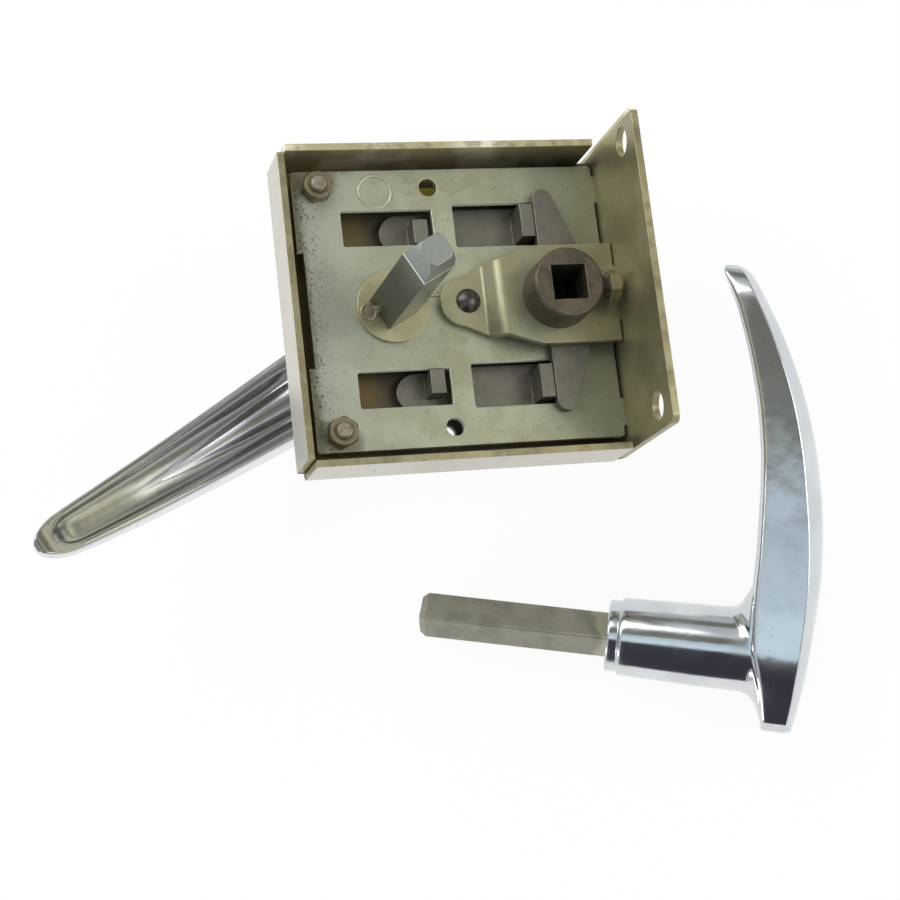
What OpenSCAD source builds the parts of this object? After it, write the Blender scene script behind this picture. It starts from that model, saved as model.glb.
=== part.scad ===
// Cab door lock with an outside lever handle fitted and an inside lever handle lying loose.
// Row frame: origin midway between the two forend screw holes, on the forend's outer face.
// +X leaves the forend, +Y runs up the forend, +Z is the plate side (inside of the cab).
// Lengths are in millimetres. Inside the modules Z = 0 is the lock plate's top face.

/* [Case] */
// sheet thickness of the folded case
sheet = 2; // [1.5:0.1:2.5]
// outer length from the back wall to the forend's outer face
case_len = 98; // [94:0.5:102]
// outer height over the two side walls
case_height = 93.4; // [92.8:0.2:98]
// outer depth of the case floor below the plate's top face
case_depth = 11.5; // [11.5:0.1:13]
// rise of the side walls above the plate's top face
wall_rise = 8; // [6:0.5:10]
// rise of the forend above the plate's top face
forend_rise = 36; // [34:0.5:40]
// height of the forend holes above the plate's top face
hole_rise = 26; // [22:0.5:28]
// distance of each forend hole from the case's outer side
hole_inset = 7.95; // [7.5:0.05:9.5]
// diameter of the forend holes
hole_d = 8.4; // [6.6:0.1:9]

/* [Plate] */
// lock plate thickness
plate_t = 2; // [1.6:0.1:2]
// gap between the lock plate and each side wall
plate_gap = 3.5; // [3.2:0.1:4.5]
// diameter of the two small fixing holes in the plate
fix_d = 5.3; // [4.3:0.1:5.5]
// nominal stud thread
stud_d = 5; // [4:0.5:5]

/* [Mechanism] */
// side of the square spindles
square = 10; // [9:0.1:10]
// bolt travel that the windows and the case leave room for
travel = 12; // [11:0.1:12]
// bolt reach past the forend at rest
bolt_reach = 13; // [12.5:0.1:15]
// gap between each cam arm and its tab at rest
arm_gap = 0.3; // [0.3:0.05:0.6]
// radial running clearance
run = 0.05; // [0.03:0.01:0.08]
// wire size of the two bolt springs
wire = 0.9; // [0.8:0.05:1]

/* [Handles] */
// angle of the outside lever, from +X towards +Y, at rest
lever_angle = 209; // [205:1:213]
// turn of the inside handle's square against its lever
square_clock = 39; // [0:1:45]
// width of the levers over the boss
lever_w = 26.6; // [25:0.1:27]
// length of the inside handle's free bar
bar_len = 60; // [50:1:64]
// spindle length above the plate
spindle_rise = 52; // [46:0.5:54]

/* [Hidden] */
$fn = 64;
hub_x = -20.4;
spindle_x = -67.6;
floor_in = -case_depth + sheet;
wall_in = case_height / 2 - sheet;
plate_right = -sheet - 0.7;
plate_left = -case_len + sheet + 2.7;
plate_h = case_height - 2 * sheet - 2 * plate_gap;
hole_pitch = case_height - 2 * hole_inset;
fix_x = -53.1;
fix_y = plate_h / 2 - 5.5;
stud_x = plate_left + 7.2;
stud_y = plate_h / 2 - 5.2;
lug_in = plate_h / 2 - 11.2;
lug_out = plate_h / 2 - 3.2;
follower_h = case_depth - plate_t - 4.5;
bar_y = 23.8;
yoke_t = 2.8;
yoke_z = floor_in + 0.15;
yoke_top = yoke_z + yoke_t;
left_tab_x = -54.7;
right_tab_x = -23.1;
web_x = -15.3;
tail_top = -plate_t - 0.7;
bridge_t = 2.5;
bridge_z = 4.7;
bend_in = 1.5;
bend_mid = bend_in + bridge_t / 2;
bend_turn = 50;
bend_run = 2 * bend_mid * sin(bend_turn)
           + (bridge_z - 2 * bend_mid * (1 - cos(bend_turn))) / tan(bend_turn);
bend_x = -38.4 - bend_run / 2;
hub_d = 20.5;
neck_d = 18;
hub_top = 19.2;
pin_z = 4.4;
pin_angle = 16;
post_x = -40.3;
spring_y = 12;
spring_z = floor_in + 3.5;
spring_r = 2.75;
lever_gap = 0.3;
crown_r = 156.5;
crown_v = 22.6;
crown_top = 60.6;
crown_u = crown_top - crown_r;
crown_side_r = 20;
loose_x = 4.4;
loose_y = -93.6;
loose_z = -47.05;
loose_turn = [-110.58, -13.44, 80.5];

// places plate-frame geometry in the row frame
module row() translate([0, 0, -hole_rise]) children();

// a plate profile in X and Z, extruded both ways along Y
module along_y(half) translate([0, half, 0]) rotate([90, 0, 0]) linear_extrude(2 * half) children();

// a profile in Y and Z, extruded along X from x0
module along_x(x0, len) translate([x0, 0, 0]) rotate([90, 0, 90]) linear_extrude(len) children();

// a rectangle given by its limits
module box2(x0, x1, y0, y1) translate([x0, y0]) square([x1 - x0, y1 - y0]);

// a block given by its limits
module box3(x0, x1, y0, y1, z0, z1) translate([x0, y0, z0]) cube([x1 - x0, y1 - y0, z1 - z0]);

// a rectangle with all corners rounded
module round_box(x0, x1, y0, y1, r) {
    box2(x0 + r, x1 - r, y0, y1);
    box2(x0, x1, y0 + r, y1 - r);
    for (x = [x0 + r, x1 - r], y = [y0 + r, y1 - r]) translate([x, y]) circle(r);
}

// a point list mirrored across the middle of the lock, kept in the same turning direction
function flip(p) = [for (i = [len(p) - 1:-1:0]) [p[i][0], -p[i][1]]];

// both the piece and its mirror image across the middle of the lock
module both() {
    children();
    mirror([0, 1, 0]) children();
}

// folded section: floor between two walls with bent outer corners
module tray_section(a0, a1, top0, top1) {
    r = 1.4 * sheet;
    difference() {
        union() {
            box2(a0 + r, a1 - r, -case_depth, floor_in);
            box2(a0, a0 + sheet, -case_depth + r, top0);
            box2(a1 - sheet, a1, -case_depth + r, top1);
            intersection() {
                translate([a0 + r, -case_depth + r]) circle(r);
                box2(a0, a0 + r, -case_depth, -case_depth + r);
            }
            intersection() {
                translate([a1 - r, -case_depth + r]) circle(r);
                box2(a1 - r, a1, -case_depth, -case_depth + r);
            }
        }
        translate([a0 + r, -case_depth + r]) circle(r - sheet);
        translate([a1 - r, -case_depth + r]) circle(r - sheet);
    }
}

module lock_case() color([0.66, 0.66, 0.50]) row() difference() {
    union() {
        along_x(-case_len + 2.4, case_len - 6.3)
            tray_section(-case_height / 2, case_height / 2, wall_rise, wall_rise);
        along_y(wall_in - 0.4) tray_section(-case_len, 0, wall_rise, wall_rise);
        intersection() {
            along_y(case_height / 2 - 1) tray_section(-case_len, 0, wall_rise, forend_rise);
            along_x(-sheet - 2, sheet + 3)
                round_box(-case_height / 2 + 1, case_height / 2 - 1, -case_depth - 6, forend_rise, 2.4);
        }
    }
    for (y = [-1, 1]) translate([-sheet - 1, y * hole_pitch / 2, hole_rise])
        rotate([0, 90, 0]) cylinder(d = hole_d, h = sheet + 2);
    box3(-sheet - 1, 1, -10.4, 10.4, yoke_z - 0.25, tail_top + 0.4);
    box3(-sheet - 1, 1, -8.1, 8.1, bridge_z - 0.05, bridge_z + bridge_t + 0.1);
    both() box3(-sheet - 1, 1, lug_in - 0.1, lug_out + 0.1, -plate_t - 0.05, 0.1);
    translate([spindle_x, 0, -case_depth - 1]) cylinder(r = 11 + run, h = sheet + 2);
    translate([fix_x, -fix_y, -case_depth - 1]) cylinder(d = fix_d, h = sheet + 2);
    both() translate([stud_x, stud_y, -case_depth - 1]) cylinder(d = stud_d, h = sheet + 2);
    both() translate([post_x + 1.4, spring_y, -case_depth - 1]) cylinder(d = 2.4, h = sheet + 2);
}

// window outlines in the lock plate, upper half
module windows() {
    round_box(-79.8, -52.9, 18.4, 29.2, 0.8);
    round_box(-46.5, -16, 17.3, 30.4, 0.8);
}

module lock_plate() color([0.72, 0.78, 0.72]) row() translate([0, 0, -plate_t])
    linear_extrude(plate_t) difference() {
        union() {
            round_box(plate_left, plate_right, -plate_h / 2, plate_h / 2, 1);
            box2(plate_right - 1, -0.3, lug_in, lug_out);
            box2(plate_right - 1, -0.3, -lug_out, -lug_in);
        }
        both() windows();
        translate([spindle_x, 0]) circle(d = 17.5);
        translate([hub_x, 0]) circle(d = neck_d + 2 * run);
        both() translate([fix_x, fix_y]) circle(d = fix_d);
        both() translate([stud_x, stud_y]) circle(d = stud_d + 0.3);
        translate([-45.7, 0.4]) circle(d = 4);
        box2(plate_left - 1, plate_left + 1.7, -17, 17.4);
    }

module plate_studs() color([0.62, 0.63, 0.62]) row() both() translate([stud_x, stud_y, -case_depth]) {
    cylinder(d = stud_d, h = case_depth + 5.2);
    translate([0, 0, case_depth + 5.2]) cylinder(d1 = stud_d, d2 = stud_d - 1.2, h = 0.6);
}

module stud_sleeves() color([0.60, 0.61, 0.58]) row() both() translate([stud_x, stud_y, floor_in])
    difference() {
        cylinder(d = stud_d + 4, h = -plate_t - floor_in);
        translate([0, 0, -1]) cylinder(d = stud_d + 0.2, h = case_depth);
    }

// a hexagon with chamfered corners at its free end
module hex_head(af, h) intersection() {
    cylinder(d = af / cos(30), h = h, $fn = 6);
    rotate_extrude() polygon([[0, 0], [af / 2 * 1.13, 0], [af / 2 * 1.15, h - 0.9],
                              [af / 2 * 0.97, h], [0, h]]);
}

module hex_nut(af, h, bore) difference() {
    hex_head(af, h);
    translate([0, 0, -1]) cylinder(d = bore, h = h + 2);
}

module plate_nuts() color([0.60, 0.61, 0.55]) row() {
    translate([stud_x, stud_y, 0]) rotate(10) hex_nut(8, 4, stud_d + 0.1);
    translate([stud_x, -stud_y, 0]) rotate(24) hex_nut(8, 4, stud_d + 0.1);
}

// plan outline of the bridge
module bridge_plan() {
    translate([-46.6, 0.3]) circle(7.3);
    polygon([[-47.6, -6.9], [-39.2, -10.7], [-36.2, -11], [-26, -14.4], [-2.4, -14.4], [-2.4, -8],
             [-0.3, -8], [-0.3, 8], [-2.4, 8], [-2.4, 14.8], [-26, 14.8], [-36.2, 11.2], [-39.2, 11],
             [-47.6, 7.4]]);
}

// points on an arc of the bridge's bends
function bend(x, z, r, from, to) = [for (i = [0:5]) let (a = from + (to - from) * i / 5)
    [x + r * cos(a), z + r * sin(a)]];

// side profile of the bridge, with its two rounded bends
bend_low_z = bridge_t + bend_in;
bend_high_z = bridge_z - bend_in;
bridge_side = concat(
    [[-60, 0]],
    bend(bend_x, bend_low_z, bend_in + bridge_t, -90, bend_turn - 90),
    bend(bend_x + bend_run, bend_high_z, bend_in, bend_turn + 90, 90),
    [[1, bridge_z], [1, bridge_z + bridge_t]],
    bend(bend_x + bend_run, bend_high_z, bend_in + bridge_t, 90, bend_turn + 90),
    bend(bend_x, bend_low_z, bend_in, bend_turn - 90, -90),
    [[-60, bridge_t]]);

module hub_bridge() color([0.70, 0.66, 0.42]) row() difference() {
    intersection() {
        along_y(20) polygon(bridge_side);
        translate([0, 0, -1]) linear_extrude(20) bridge_plan();
    }
    translate([hub_x, 0, 0]) cylinder(d = neck_d + 2 * run, h = 20);
    translate([-45.7, 0.4, -1]) cylinder(d = 4, h = 20);
}

module bridge_rivet() color([0.36, 0.33, 0.28]) row() translate([-45.7, 0.4, 0]) {
    translate([0, 0, -plate_t]) cylinder(d = 4, h = plate_t + bridge_t);
    translate([0, 0, bridge_t]) intersection() {
        translate([0, 0, -2.4]) sphere(4.4);
        cylinder(r = 3.6, h = 4);
    }
}

module spring_posts() color([0.52, 0.53, 0.52]) row() both() {
    box3(post_x, post_x + 2.8, spring_y - 3.5, spring_y + 3.5, floor_in, spring_z + 3);
    translate([post_x + 2.8, spring_y, spring_z]) rotate([0, 90, 0]) cylinder(d = 3, h = 9.3);
    translate([post_x + 1.4, spring_y, -case_depth]) cylinder(d = 2.4, h = sheet);
}

// wire slice of a coil, spun up the coil's axis
module coil(len, turns) linear_extrude(height = len, twist = -360 * turns, slices = 16 * turns, $fn = 12)
    polygon(concat([for (i = [0:3]) (spring_r - wire) * [cos(i * 33), sin(i * 33)]],
                   [for (i = [3:-1:0]) spring_r * [cos(i * 33), sin(i * 33)]]));

module bolt_spring(y) color([0.45, 0.46, 0.48]) row()
    translate([post_x + 2.85, y, spring_z]) rotate([0, 90, 0]) coil(web_x - post_x - 2.95, 6);

module bolt_spring_upper() bolt_spring(spring_y);

module bolt_spring_lower() bolt_spring(-spring_y);

// one arm of the yoke seen from the plate side
module yoke_arm(y) {
    translate([-61.7, y]) circle(5.7);
    box2(-61.7, -40, y - 5.7, y + 5.7);
    round_box(-50, web_x + 8, y - 7, y + 7, 1);
}

module bolt_yoke() color([0.55, 0.57, 0.58]) row() {
    translate([0, 0, yoke_z]) linear_extrude(yoke_t) {
        yoke_arm(bar_y);
        yoke_arm(-bar_y);
        box2(web_x, web_x + 7, -20, 20);
    }
    both() {
        box3(left_tab_x - 4.2, left_tab_x, 18.8, 25.8, yoke_top - 1, 0.8);
        box3(right_tab_x - 3.9, right_tab_x, 19.2, 29, yoke_top - 1, 2.9);
    }
}

module latch_bolt() color([0.58, 0.60, 0.60]) row() {
    difference() {
        union() {
            box3(web_x, web_x + 9, -15.4, 15.4, yoke_top, tail_top);
            along_y(10) polygon([[web_x + 7.02, yoke_z], [bolt_reach, yoke_z],
                                 [bolt_reach, yoke_z + 2], [2.5, tail_top], [web_x + 7.02, tail_top]]);
        }
        for (y = [-6, 6]) translate([web_x + 3.5, y, yoke_z - 1]) cylinder(d = 3.6, h = 12);
    }
}

module bolt_rivets() color([0.45, 0.45, 0.44]) row() for (y = [-6, 6])
    translate([web_x + 3.5, y, yoke_top]) cylinder(d = 3.6, h = tail_top - yoke_top + 0.3);

// half width of the lever along its length
lever_half = [[-23.3, 6.2], [-22.6, 7.6], [-11.5, 12.9], [0, 13.3], [11.6, 13.1], [24.3, 12.4],
              [38.8, 11.4], [58.2, 10.2], [83.4, 8.5], [100.9, 7.1], [108.6, 6.2], [113.5, 4.6], [116.6, 2.2]];
// inner edge of the lever: distance along it, distance out from the case
lever_inner = [[-23.8, 47], [-15.5, 45.6], [-9, 44.7], [0, 42.2], [16, 41.2], [30, 40.7], [46.5, 40],
               [59, 39.1], [68, 37.8], [76, 36.2], [88.5, 32.9], [97, 30], [104, 27.4], [110, 24.4],
               [118, 19.6]];
lever_end = lever_inner[len(lever_inner) - 1][0];

// lever outline seen along the spindle, drawn in by a margin
module lever_plan(margin) polygon(concat(
    [for (p = lever_half) [p[0], max(0.4, p[1] * lever_w / 26.6 - margin)]],
    [for (i = [len(lever_half) - 1:-1:0]) [lever_half[i][0],
        -max(0.4, lever_half[i][1] * lever_w / 26.6 - margin)]]));

// a side profile drawn with distance out from the case downwards
module lever_side(half) translate([0, half, 0]) rotate([90, 0, 0]) linear_extrude(2 * half) children();

// lever casting: local X along the lever, local +Z towards the bar
module lever_casting() {
    difference() {
        intersection() {
            translate([crown_v, 0, -crown_u]) rotate([90, 0, 0]) rotate_extrude($fn = 180) intersection() {
                box2(crown_r - 80, crown_r + 1, -14, 14);
                translate([crown_r - crown_side_r, 0]) union() {
                    circle(crown_side_r);
                    box2(-80, 0, -14, 14);
                }
            }
            translate([0, 0, -80]) linear_extrude(80) lever_plan(0);
            lever_side(20) polygon(concat([for (p = lever_inner) [p[0], -p[1]]], [[lever_end, -90], [lever_inner[0][0], -90]]));
        }
        difference() {
            intersection() {
                translate([0, 0, -80]) linear_extrude(80) intersection() {
                    lever_plan(2.6);
                    box2(16.5, 110.5, -20, 20);
                }
                lever_side(20) polygon(concat([for (p = lever_inner) [p[0], 1 - p[1]]],
                    [for (i = [len(lever_inner) - 1:-1:0]) [lever_inner[i][0], -lever_inner[i][1] - 3.6]]));
            }
            translate([0, 0, -80]) linear_extrude(80)
                polygon([[10, -4.4], [40, -2.4], [80, -0.5], [80, 0.5], [40, 2.4], [10, 4.4]]);
        }
    }
    intersection() {
        rotate_extrude() polygon([[0, -51], [20.5, -50], [20.5, -47], [19.5, -44], [18, -41], [16, -37.5],
                                  [14.3, -33.5], [13.1, -29], [12.2, -16], [11.8, -0.6], [11, 0], [11, 3],
                                  [10.4, 3.6], [0, 3.6]]);
        translate([0, 0, -80]) linear_extrude(100) union() {
            lever_plan(1.1);
            circle(12.4);
        }
    }
}

// a square bar standing on local +Z, turned about it
module square_bar(turn, z0, z1) rotate(turn) translate([-square / 2, -square / 2, z0])
    cube([square, square, z1 - z0]);

module outside_place() row() translate([spindle_x, 0, -case_depth - lever_gap]) rotate(lever_angle) children();

module outside_handle() color([0.80, 0.82, 0.84]) outside_place() difference() {
    lever_casting();
    square_bar(0, -30, 20);
}

// two crossed wedges that bring the bar down to a smaller square end
module bar_end(z0, z1, tip) intersection() {
    lever_side(square) polygon([[-square / 2, -60], [square / 2, -60], [square / 2, z0], [tip / 2, z1],
                                [-tip / 2, z1], [-square / 2, z0]]);
    rotate(90) lever_side(square) polygon([[-square / 2, -60], [square / 2, -60], [square / 2, z0],
                                           [tip / 2, z1], [-tip / 2, z1], [-square / 2, z0]]);
}

// the outside bar's top, above the handle's own zero
spindle_top = case_depth + lever_gap + spindle_rise;

module outside_spindle() color([0.56, 0.56, 0.55]) outside_place() difference() {
    intersection() {
        square_bar(0, -30, spindle_top);
        bar_end(spindle_top - 8, spindle_top, square - 2.4);
        rotate_extrude() polygon([[0, -31], [8, -31], [8, spindle_top - 7], [4.4, spindle_top],
                                  [0, spindle_top]]);
    }
    translate([0, 0, case_depth + lever_gap + pin_z]) rotate(pin_angle - lever_angle)
        rotate([0, 90, 0]) cylinder(d = 2.6, h = 30, center = true);
}

// follower arm pushing the left tab, upper half
follower_a = left_tab_x - spindle_x + arm_gap;
follower_arm = [[2, -1], [9, -1], [follower_a + 5, 12], [follower_a + 5, 18.8], [follower_a, 18.8],
                [follower_a, 12], [2, 6]];

module outside_follower() color([0.56, 0.54, 0.48]) row() translate([spindle_x, 0, 0]) difference() {
    union() {
        translate([0, 0, -plate_t - 0.4 - follower_h]) cylinder(r = 9.6, h = follower_h);
        translate([0, 0, -plate_t - 0.8 - 2.6]) linear_extrude(2.6) {
            polygon(follower_arm);
            polygon(flip(follower_arm));
        }
    }
    square_bar_hole();
}

// the follower's and washer's square hole
module square_bar_hole() rotate(lever_angle) translate([0, 0, -20])
    translate([-square / 2, -square / 2, 0]) cube([square, square, 60]);

module spindle_washer() color([0.74, 0.70, 0.42]) row() translate([spindle_x, 0, 0]) difference() {
    translate([0, 0, 0.1]) cylinder(d = 21, h = 1.5);
    square_bar_hole();
}

module split_pin() color([0.66, 0.64, 0.52]) row() translate([spindle_x, 0, pin_z]) rotate(pin_angle) {
    translate([-6.4, 0, 0]) rotate([0, 90, 0]) cylinder(d = 2.4, h = 15);
    translate([-8.3, 0, 0]) rotate_extrude() translate([2.2, 0]) circle(0.5, $fn = 16);
    translate([8.2, 0.6, 0]) rotate([0, 90, 10]) cylinder(d = 1.2, h = 5.6);
    translate([8.2, -0.6, 0]) rotate([0, 90, -12]) cylinder(d = 1.2, h = 4.8);
}

module inside_hub() color([0.52, 0.47, 0.40]) row() translate([hub_x, 0, 0]) difference() {
    union() {
        translate([0, 0, bridge_z + bridge_t + 0.3]) cylinder(d = hub_d, h = hub_top - bridge_z - bridge_t - 0.9);
        translate([0, 0, hub_top - 0.6]) cylinder(d1 = hub_d, d2 = hub_d - 1.2, h = 0.6);
        translate([0, 0, -plate_t + 0.1]) cylinder(d = neck_d, h = 12);
    }
    translate([-square / 2 - 0.1, -square / 2 - 0.1, -10]) cube([square + 0.2, square + 0.2, 40]);
    translate([0, 0, 13.4]) rotate([0, 90, 0]) cylinder(d = 5.7, h = 20);
}

// plan of the two-armed cam
cam_e = right_tab_x - hub_x + arm_gap;
cam_arm = [[cam_e, 1], [9.3, 1], [9.3, 16], [cam_e + 5.85, 31.1], [cam_e + 3, 30.2], [cam_e, 30.2]];
module cam_plan() {
    circle(11.5);
    polygon(cam_arm);
    polygon(flip(cam_arm));
    for (y = [-30.2, 30.2]) translate([cam_e + 3, y]) circle(3);
}

module hub_cam() color([0.50, 0.52, 0.53]) row() translate([hub_x, 0, 0.4]) linear_extrude(2.8) difference() {
    cam_plan();
    circle(d = neck_d);
}

module hub_set_screw() color([0.58, 0.58, 0.56]) row() translate([hub_x, 0, 13.4]) rotate([0, 90, 0]) {
    translate([0, 0, square / 2 + 0.15]) cylinder(d = 5.7, h = 8);
    translate([0, 0, 13.1]) rotate(30) hex_head(8, 3.4);
}

module inside_place() row() translate([loose_x, loose_y, loose_z]) rotate(loose_turn) children();

module inside_handle() color([0.80, 0.82, 0.84]) inside_place() difference() {
    lever_casting();
    square_bar(square_clock, -30, 20);
}

module inside_spindle() color([0.50, 0.50, 0.50]) inside_place() intersection() {
    square_bar(square_clock, -30, 3.6 + bar_len);
    rotate(square_clock) bar_end(3.6 + bar_len - 0.8, 3.6 + bar_len, square - 1.4);
}

lock_case();
lock_plate();
plate_studs();
stud_sleeves();
plate_nuts();
hub_bridge();
bridge_rivet();
spring_posts();
bolt_spring_upper();
bolt_spring_lower();
bolt_yoke();
latch_bolt();
bolt_rivets();
outside_handle();
outside_spindle();
outside_follower();
spindle_washer();
split_pin();
inside_hub();
hub_cam();
hub_set_screw();
inside_handle();
inside_spindle();
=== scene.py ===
# %% [markdown]
# # A cab door lock, dressed for its picture
# The lock arrives as a imported model: a folded case, a plate with windows, a bolt slide, a hub and two
# lever handles. This lesson keeps every solid where it is and gives the metal its finishes. The two
# cast handles are modelled again, because polished chrome shows every flat facet. So are the loose
# handle's bar, for its chamfer, and the springs.

# %% Load the imported lock
import math

import bmesh
import bpy
from mathutils import Matrix, Vector


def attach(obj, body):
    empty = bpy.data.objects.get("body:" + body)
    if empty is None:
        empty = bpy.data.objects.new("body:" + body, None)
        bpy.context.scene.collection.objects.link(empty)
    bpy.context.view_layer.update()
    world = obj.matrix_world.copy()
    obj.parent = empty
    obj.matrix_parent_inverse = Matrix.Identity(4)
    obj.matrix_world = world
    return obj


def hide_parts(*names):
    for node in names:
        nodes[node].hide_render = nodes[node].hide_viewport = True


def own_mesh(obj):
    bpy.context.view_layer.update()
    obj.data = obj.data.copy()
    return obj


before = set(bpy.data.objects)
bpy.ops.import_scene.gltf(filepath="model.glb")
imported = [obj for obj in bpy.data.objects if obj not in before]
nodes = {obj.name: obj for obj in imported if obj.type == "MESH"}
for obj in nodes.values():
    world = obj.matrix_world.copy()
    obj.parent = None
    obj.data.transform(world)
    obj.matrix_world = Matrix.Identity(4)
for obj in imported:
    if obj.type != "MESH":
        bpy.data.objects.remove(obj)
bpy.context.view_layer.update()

MM = 0.001
SPINDLE_X = -67.6 * MM
HUB_X = -20.4 * MM
LEVER_ANGLE = math.radians(209)

# %% [markdown]
# The camera is the first thing to settle, because it decides which details are worth the work. The
# lock's own edges gave its place: a long lens, about twenty degrees off the plate's normal, with the
# lock's upper side at the top of the picture.

# %% Camera
LENS_PIXELS = 2000
IMAGE_PIXELS = 900
EYE = Vector((-0.20605, -0.15564, 0.50473))
RIGHT = Vector((0.96194, -0.11361, 0.24853))
DOWN = Vector((-0.05705, -0.97293, -0.22394))
FORWARD = Vector((0.26724, 0.20124, -0.94238))

camera_data = bpy.data.cameras.new("lock_camera")
camera_data.sensor_width = 36
camera_data.sensor_fit = "HORIZONTAL"
camera_data.lens = 36 * LENS_PIXELS / IMAGE_PIXELS
camera_data.clip_start = 0.01
camera = bpy.data.objects.new("lock_camera", camera_data)
bpy.context.collection.objects.link(camera)
camera_turn = Matrix((RIGHT, -DOWN, -FORWARD)).transposed().to_4x4()
camera.matrix_world = Matrix.Translation(EYE) @ camera_turn
bpy.context.scene.camera = camera
print("lens", round(camera_data.lens, 1), "mm")

# %% [markdown]
# Every finish below is a small web of shader nodes. Writing such webs by hand is slow to read, so one
# class wraps a node socket and lets Python's own operators add the Math nodes. One function adds any
# other node, and short ones fade, mix and compare masks.

# %% Shader helpers
class Socket:
    """A node socket that can be used in Python maths. Each operator adds one Math node."""

    def __init__(self, tree, socket):
        self.tree = tree
        self.socket = socket

    def math(self, operation, *values):
        return node(self.tree, "ShaderNodeMath", {"operation": operation}, dict(enumerate(values)))[0]

    def __neg__(self):
        return self.math("MULTIPLY", -1, self)

    def __abs__(self):
        return self.math("ABSOLUTE", self)

    def __add__(self, other):
        return self.math("ADD", self, other)

    def __radd__(self, other):
        return self.math("ADD", other, self)

    def __sub__(self, other):
        return self.math("SUBTRACT", self, other)

    def __rsub__(self, other):
        return self.math("SUBTRACT", other, self)

    def __mul__(self, other):
        return self.math("MULTIPLY", self, other)

    def __rmul__(self, other):
        return self.math("MULTIPLY", other, self)


def node(tree, kind, settings=None, inputs=None):
    """Adds a node, sets its settings first, then fills its sockets. Returns its outputs, wrapped."""
    made = tree.nodes.new(kind)
    for name, value in (settings or {}).items():
        setattr(made, name, value)
    for key, value in (inputs or {}).items():
        target = made.inputs[key]
        if isinstance(value, Socket):
            tree.links.new(value.socket, target)
        else:
            target.default_value = value
    return [Socket(tree, out) for out in made.outputs]


def blank_material(name):
    material = bpy.data.materials.new(name)
    material.use_nodes = True
    material.node_tree.nodes.clear()
    return material, material.node_tree


def finish_material(tree, shader):
    node(tree, "ShaderNodeOutputMaterial", None, {"Surface": shader})


def output_of(tree, kind, name):
    """Adds a node that needs no inputs and returns one of its outputs, wrapped."""
    return Socket(tree, tree.nodes.new(kind).outputs[name])


def either(first, second):
    """The larger of two masks."""
    return first.math("MAXIMUM", first, second)


def fade(value, low, high):
    """0 below low, 1 above high, with a soft change between."""
    return node(value.tree, "ShaderNodeMapRange", {"interpolation_type": "SMOOTHSTEP"},
                {0: value, 1: low, 2: high, 3: 0.0, 4: 1.0})[0]


def blend(factor, first, second):
    """Mixes two colours by a factor."""
    made = node(factor.tree, "ShaderNodeMix", {"data_type": "RGBA"}, {0: factor, 6: first, 7: second})
    return made[2]


def distance(first, second):
    """How far a place is from an axis, from its two offsets."""
    square = first * first + second * second
    return square.math("SQRT", square)


def white_to_view(tree):
    """1 for rays that come from the camera, from a reflection or through glass."""
    camera_ray = output_of(tree, "ShaderNodeLightPath", "Is Camera Ray")
    glossy_ray = output_of(tree, "ShaderNodeLightPath", "Is Glossy Ray")
    clear_ray = output_of(tree, "ShaderNodeLightPath", "Is Transmission Ray")
    return either(camera_ray, either(glossy_ray, clear_ray))


print("shader helpers ready")

# %% [markdown]
# Chrome shows its surroundings, so the studio is part of the finish. The lock rests on the lower end of
# its outside lever, and the loose handle lies flat beside it, so the table is level with that handle and
# not with the plate. The table is white to the camera and to reflections, and clear from below. The room
# beyond it is white to the camera and dimmer to everything else.

# %% Table and room
TABLE_UP = Vector((-0.38262, -0.15656, 0.91054)).normalized()
TABLE_GAP = 0.0003


def lowest_along(direction):
    """Least distance of any solid along a direction."""
    least = 1.0
    for name in nodes:
        for vertex in bpy.data.objects[name].data.vertices:
            least = min(least, vertex.co.dot(direction))
    return least


table_level = lowest_along(TABLE_UP) - TABLE_GAP
table_right = (RIGHT - TABLE_UP * RIGHT.dot(TABLE_UP)).normalized()
table_away = TABLE_UP.cross(table_right)
table_turn = Matrix((table_right, table_away, TABLE_UP)).transposed().to_4x4()
table_place = Matrix.Translation(TABLE_UP * table_level) @ table_turn

WHITE = (1, 1, 1, 1)
world = bpy.data.worlds.new("studio_room")
world.use_nodes = True
sky = world.node_tree
sky.nodes.clear()
seen = output_of(sky, "ShaderNodeLightPath", "Is Camera Ray")
room = node(sky, "ShaderNodeBackground", None, {"Color": (0.95, 0.97, 1, 1), "Strength": 0.6})[0]
backdrop = node(sky, "ShaderNodeBackground", None, {"Color": WHITE, "Strength": 1.0})[0]
mixed = node(sky, "ShaderNodeMixShader", None, {0: seen, 1: room, 2: backdrop})[0]
node(sky, "ShaderNodeOutputWorld", None, {"Surface": mixed})
bpy.context.scene.world = world


def new_piece(name, mesh):
    """Turns a bmesh into an object at the origin."""
    data = bpy.data.meshes.new(name)
    mesh.to_mesh(data)
    mesh.free()
    piece = bpy.data.objects.new(name, data)
    bpy.context.collection.objects.link(piece)
    return piece


table_mesh = bmesh.new()
bmesh.ops.create_grid(table_mesh, x_segments=1, y_segments=1, size=1.6)
bmesh.ops.transform(table_mesh, matrix=table_place, verts=table_mesh.verts)
table = new_piece("table", table_mesh)
table_material, web = blank_material("white_table")
matte = node(web, "ShaderNodeBsdfDiffuse", None, {"Color": (0.9, 0.9, 0.9, 1)})[0]
glow = node(web, "ShaderNodeEmission", None, {"Color": WHITE, "Strength": 1.0})[0]
bright = node(web, "ShaderNodeMixShader", None, {0: 0.92 * white_to_view(web), 1: matte, 2: glow})[0]
clear = node(web, "ShaderNodeBsdfTransparent")[0]
under = output_of(web, "ShaderNodeNewGeometry", "Backfacing")
finish_material(web, node(web, "ShaderNodeMixShader", None, {0: under, 1: bright, 2: clear})[0])
table.data.materials.append(table_material)
print("table level", round(table_level, 4))

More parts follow.
